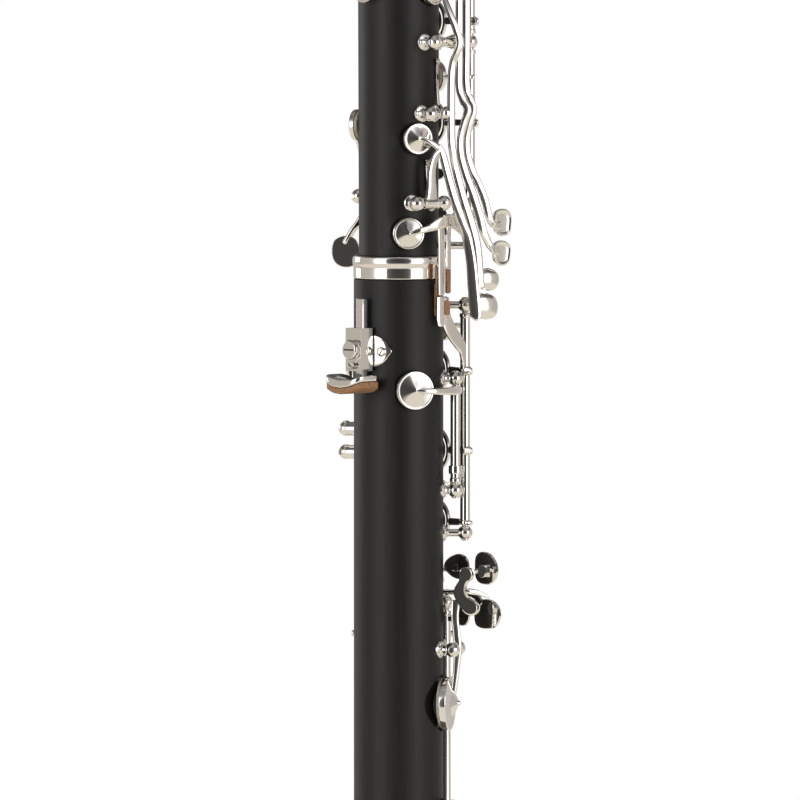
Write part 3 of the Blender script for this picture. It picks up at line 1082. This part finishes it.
w = bpy.data.worlds.new("studio")
sc.world = w
w.use_nodes = True
t = w.node_tree
t.nodes.clear()
wo = t.nodes.new("ShaderNodeOutputWorld")
bg = t.nodes.new("ShaderNodeBackground")
bgc = t.nodes.new("ShaderNodeBackground")
mix = t.nodes.new("ShaderNodeMixShader")
lp = t.nodes.new("ShaderNodeLightPath")
co = t.nodes.new("ShaderNodeTexCoord")
t.links.new(lp.outputs["Is Camera Ray"], mix.inputs[0])
t.links.new(bg.outputs[0], mix.inputs[1])
t.links.new(bgc.outputs[0], mix.inputs[2])
t.links.new(mix.outputs[0], wo.inputs[0])
bgc.inputs[0].default_value = (1, 1, 1, 1)
bgc.inputs[1].default_value = 1.0


def dot(vec):
    n = t.nodes.new("ShaderNodeVectorMath")
    n.operation = "DOT_PRODUCT"
    t.links.new(co.outputs["Generated"], n.inputs[0])
    n.inputs[1].default_value = tuple(vec)
    return n.outputs["Value"]


def math_node(op, a, b=None):
    n = t.nodes.new("ShaderNodeMath")
    n.operation = op
    for i, x in enumerate((a, b)):
        if x is None:
            continue
        if isinstance(x, (int, float)):
            n.inputs[i].default_value = x
        else:
            t.links.new(x, n.inputs[i])
    return n.outputs[0]


fwd = dot(toward)
rgt = dot(right)
upz = dot((0, 0, 1))
# angle from the camera's direction: a dark room behind the camera, two tall white panels beside it,
# grey walls further round and the white backdrop behind the instrument
ang = math_node("ARCCOSINE", math_node("MINIMUM", math_node("MAXIMUM", fwd, -1.0), 1.0))
ang = math_node("DIVIDE", ang, math.pi)
base = ramp(t, ang, [(0.0, (0.045, 0.044, 0.042)), (0.08, (0.06, 0.058, 0.055)), (0.14, (0.105, 0.1, 0.092)), (0.175, (0.2, 0.2, 0.195)),
                     (0.198, (1.25, 1.25, 1.25)), (0.345, (1.2, 1.2, 1.2)), (0.38, (0.6, 0.565, 0.53)), (0.45, (0.5, 0.455, 0.41)), (0.62, (0.46, 0.42, 0.385)),
                     (0.78, (0.56, 0.53, 0.5)), (0.9, (0.5, 0.47, 0.44)), (1.0, (0.58, 0.56, 0.54))])
# the panels end above head height: a dim ceiling, and a pale cream table below
high = ramp(t, math_node("ADD", math_node("MULTIPLY", upz, 0.5), 0.5), [(0.0, (0.5, 0.5, 0.5)), (0.69, (0.5, 0.5, 0.5)), (0.76, (0.13, 0.13, 0.135)), (0.9, (0.1, 0.1, 0.105)), (1.0, (0.3, 0.3, 0.3))])
mx = t.nodes.new("ShaderNodeMix")
mx.data_type = "RGBA"
mx.blend_type = "MULTIPLY"
mx.inputs[0].default_value = 1.0
t.links.new(base.outputs[0], mx.inputs[6])
hi2 = t.nodes.new("ShaderNodeMix")
hi2.data_type = "RGBA"
hi2.blend_type = "ADD"
hi2.inputs[0].default_value = 1.0
t.links.new(high.outputs[0], hi2.inputs[6])
t.links.new(high.outputs[0], hi2.inputs[7])
t.links.new(hi2.outputs[2], mx.inputs[7])
lowf = t.nodes.new("ShaderNodeMapRange")
lowf.inputs["From Min"].default_value = -0.22
lowf.inputs["From Max"].default_value = -0.36
t.links.new(upz, lowf.inputs["Value"])
lo2 = t.nodes.new("ShaderNodeMix")
lo2.data_type = "RGBA"
t.links.new(lowf.outputs[0], lo2.inputs[0])
t.links.new(mx.outputs[2], lo2.inputs[6])
lo2.inputs[7].default_value = (0.7, 0.65, 0.56, 1)
t.links.new(lo2.outputs[2], bg.inputs[0])
bg.inputs[1].default_value = 1.0

# soft panels
for nm, ang_a, dist, zz, size, power in (("panel_left", 0, 1.8, 0.5, 0.9, 4.0), ("panel_right", 92, 1.8, 0.5, 0.9, 4.0), ("panel_back", -80, 1.8, 0.5, 0.7, 2.5)):
    li = bpy.data.lights.new(nm, "AREA")
    li.energy = power
    li.size = size
    lo = bpy.data.objects.new(nm, li)
    sc.collection.objects.link(lo)
    pos = P(ang_a, dist * 1000, zz * 1000) * MM
    lo.location = pos
    d = Vector((0, 0, 0.3)) - Vector(pos)
    lo.rotation_euler = d.to_track_quat("-Z", "Y").to_euler()

# ------------------------------------------------------------------ camera
cam = bpy.data.cameras.new("photo_view")
co_ = bpy.data.objects.new("photo_view", cam)
sc.collection.objects.link(co_)
D = 3.0
cam.sensor_width = 36.0
cam.lens = 36.0 * D * 1000 / 250.0
cam.clip_end = 50
target = Vector(C(0.45, 0, 338 - (400 - 255) / 3.2) * MM)
co_.location = target + Vector(toward) * D
co_.rotation_euler = (target - co_.location).to_track_quat("-Z", "Y").to_euler()
sc.camera = co_

sc.view_settings.view_transform = "Standard"
sc.view_settings.look = "None"
